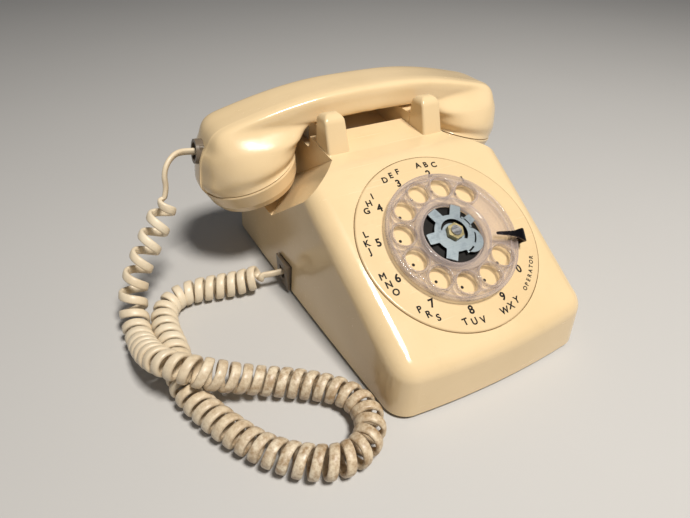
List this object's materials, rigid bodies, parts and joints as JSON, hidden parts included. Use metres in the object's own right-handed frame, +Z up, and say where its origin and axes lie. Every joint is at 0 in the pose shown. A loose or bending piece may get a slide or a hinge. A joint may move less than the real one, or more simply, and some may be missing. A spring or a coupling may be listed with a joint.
{
  "type": "rotary telephone",
  "caption": "Desk telephone with a sprung rotary dial on a sloping face, a lift-off handset in a cradle with plungers, and a curly handset cord.",
  "frame": {"origin": "on the table under the middle of the telephone without its cord", "axes": "+Z up, the dial faces -Y and up, the handset lies along X"},
  "size_m": [0.2879, 0.229, 0.113],
  "materials": {
    "cream_plastic": "glossy moulded cream",
    "plate_plastic": "satin cream with black print",
    "clear_plastic": "clear acrylic",
    "plunger_plastic": "clear white",
    "grey_plastic": "matte grey",
    "cord_vinyl": "satin vinyl",
    "rubber": "matte black",
    "plate_steel": "zinc plated",
    "steel": "bright",
    "dark_steel": "polished dark",
    "zinc": "dull zinc",
    "cast_metal": "cast",
    "brass": "worn",
    "gong_brass": "turned",
    "coil_tape": "wound tape"
  },
  "bodies": {
    "base": {"base_plate": "plate_steel", "rubber_feet": "rubber", "housing": "cream_plastic", "housing_screws": "steel", "number_plate": "plate_plastic", "finger_stop": "dark_steel", "dial_frame": "cast_metal", "dial_brackets": "plate_steel", "dial_screws": "steel", "pulse_contacts": "brass", "governor_cup": "steel", "mainspring": "steel", "ringer_frame": "plate_steel", "ringer_coil": "coil_tape", "ringer_magnet": "steel", "gong_left": "gong_brass", "gong_right": "gong_brass", "gong_screws": "steel", "network_block": "grey_plastic", "network_screws": "brass", "hookswitch_bracket": "plate_steel", "hookswitch_contacts": "brass", "hookswitch_pin": "steel", "hookswitch_spring": "steel", "side_jack": "grey_plastic", "line_jack": "grey_plastic", "volume_bracket": "plate_steel", "base_cord_plug": "clear_plastic", "cord_strand_base": "cord_vinyl", "cord_coil": "cord_vinyl"},
    "dial": {"fingerwheel": "clear_plastic", "clamp_plate": "zinc", "center_nut": "brass", "main_shaft": "steel", "main_gear": "brass"},
    "governor": {"governor_shaft": "steel", "governor_pinion": "brass", "governor_weights": "brass"},
    "hookswitch": {"hookswitch_lever": "plate_steel"},
    "plunger_l": {"plunger_left": "plunger_plastic"},
    "plunger_r": {"plunger_right": "plunger_plastic"},
    "clapper": {"clapper_arm": "steel"},
    "volume": {"volume_wheel": "grey_plastic"},
    "handset": {"handset_shell": "cream_plastic", "transmitter_cap": "cream_plastic", "receiver_cap": "cream_plastic", "transmitter_capsule": "cast_metal", "receiver_capsule": "cast_metal", "transmitter_cup": "grey_plastic", "handset_jack": "grey_plastic", "handset_cord_plug": "clear_plastic", "cord_strand_handset": "cord_vinyl"}
  },
  "joints": [
    {"name": "dial_turn", "type": "hinge", "parent": "base", "child": "dial", "pos_m": [-0.00225, -0.05035, 0.0594], "axis": [0, 0.4726, -0.8813], "range_deg": [0, 321], "stiffness_Nm_per_rad": 0.0006, "springref_deg": -114.59},
    {"name": "governor_spin", "type": "hinge", "parent": "base", "child": "governor", "pos_m": [-0.00225, -0.02876, 0.07098], "axis": [0, 0.4726, -0.8813], "range_deg": [-1930, 0]},
    {"name": "hookswitch_rock", "type": "hinge", "parent": "base", "child": "hookswitch", "pos_m": [-0.00225, 0.02025, 0.064], "axis": [1, 0, 0], "range_deg": [0, 8.6]},
    {"name": "plunger_left_slide", "type": "slide", "parent": "base", "child": "plunger_l", "axis": [0, 0, 1], "range_m": [0, 0.0061]},
    {"name": "plunger_right_slide", "type": "slide", "parent": "base", "child": "plunger_r", "axis": [0, 0, 1], "range_m": [0, 0.0061]},
    {"name": "clapper_swing", "type": "hinge", "parent": "base", "child": "clapper", "pos_m": [-0.00725, 0.06425, 0.0177], "axis": [0, 0, 1], "range_deg": [-11, 11], "stiffness_Nm_per_rad": 0.00002},
    {"name": "volume_turn", "type": "hinge", "parent": "base", "child": "volume", "pos_m": [0.04975, 0.00225, 0.012], "axis": [1, 0, 0], "range_deg": [0, 120]},
    {"name": "handset_lift", "type": "slide", "parent": "base", "child": "handset", "axis": [0, 0, 1], "range_m": [0, 0.12], "deforming": ["cord_coil"]}
  ],
  "couplings": [
    {"joint": "governor_spin", "follows": "dial_turn", "ratio": -6},
    {"joint": "hookswitch_rock", "follows": "handset_lift", "rad_per_m": 1.25},
    {"joint": "plunger_left_slide", "follows": "handset_lift", "ratio": 0.05},
    {"joint": "plunger_right_slide", "follows": "handset_lift", "ratio": 0.05}
  ]
}
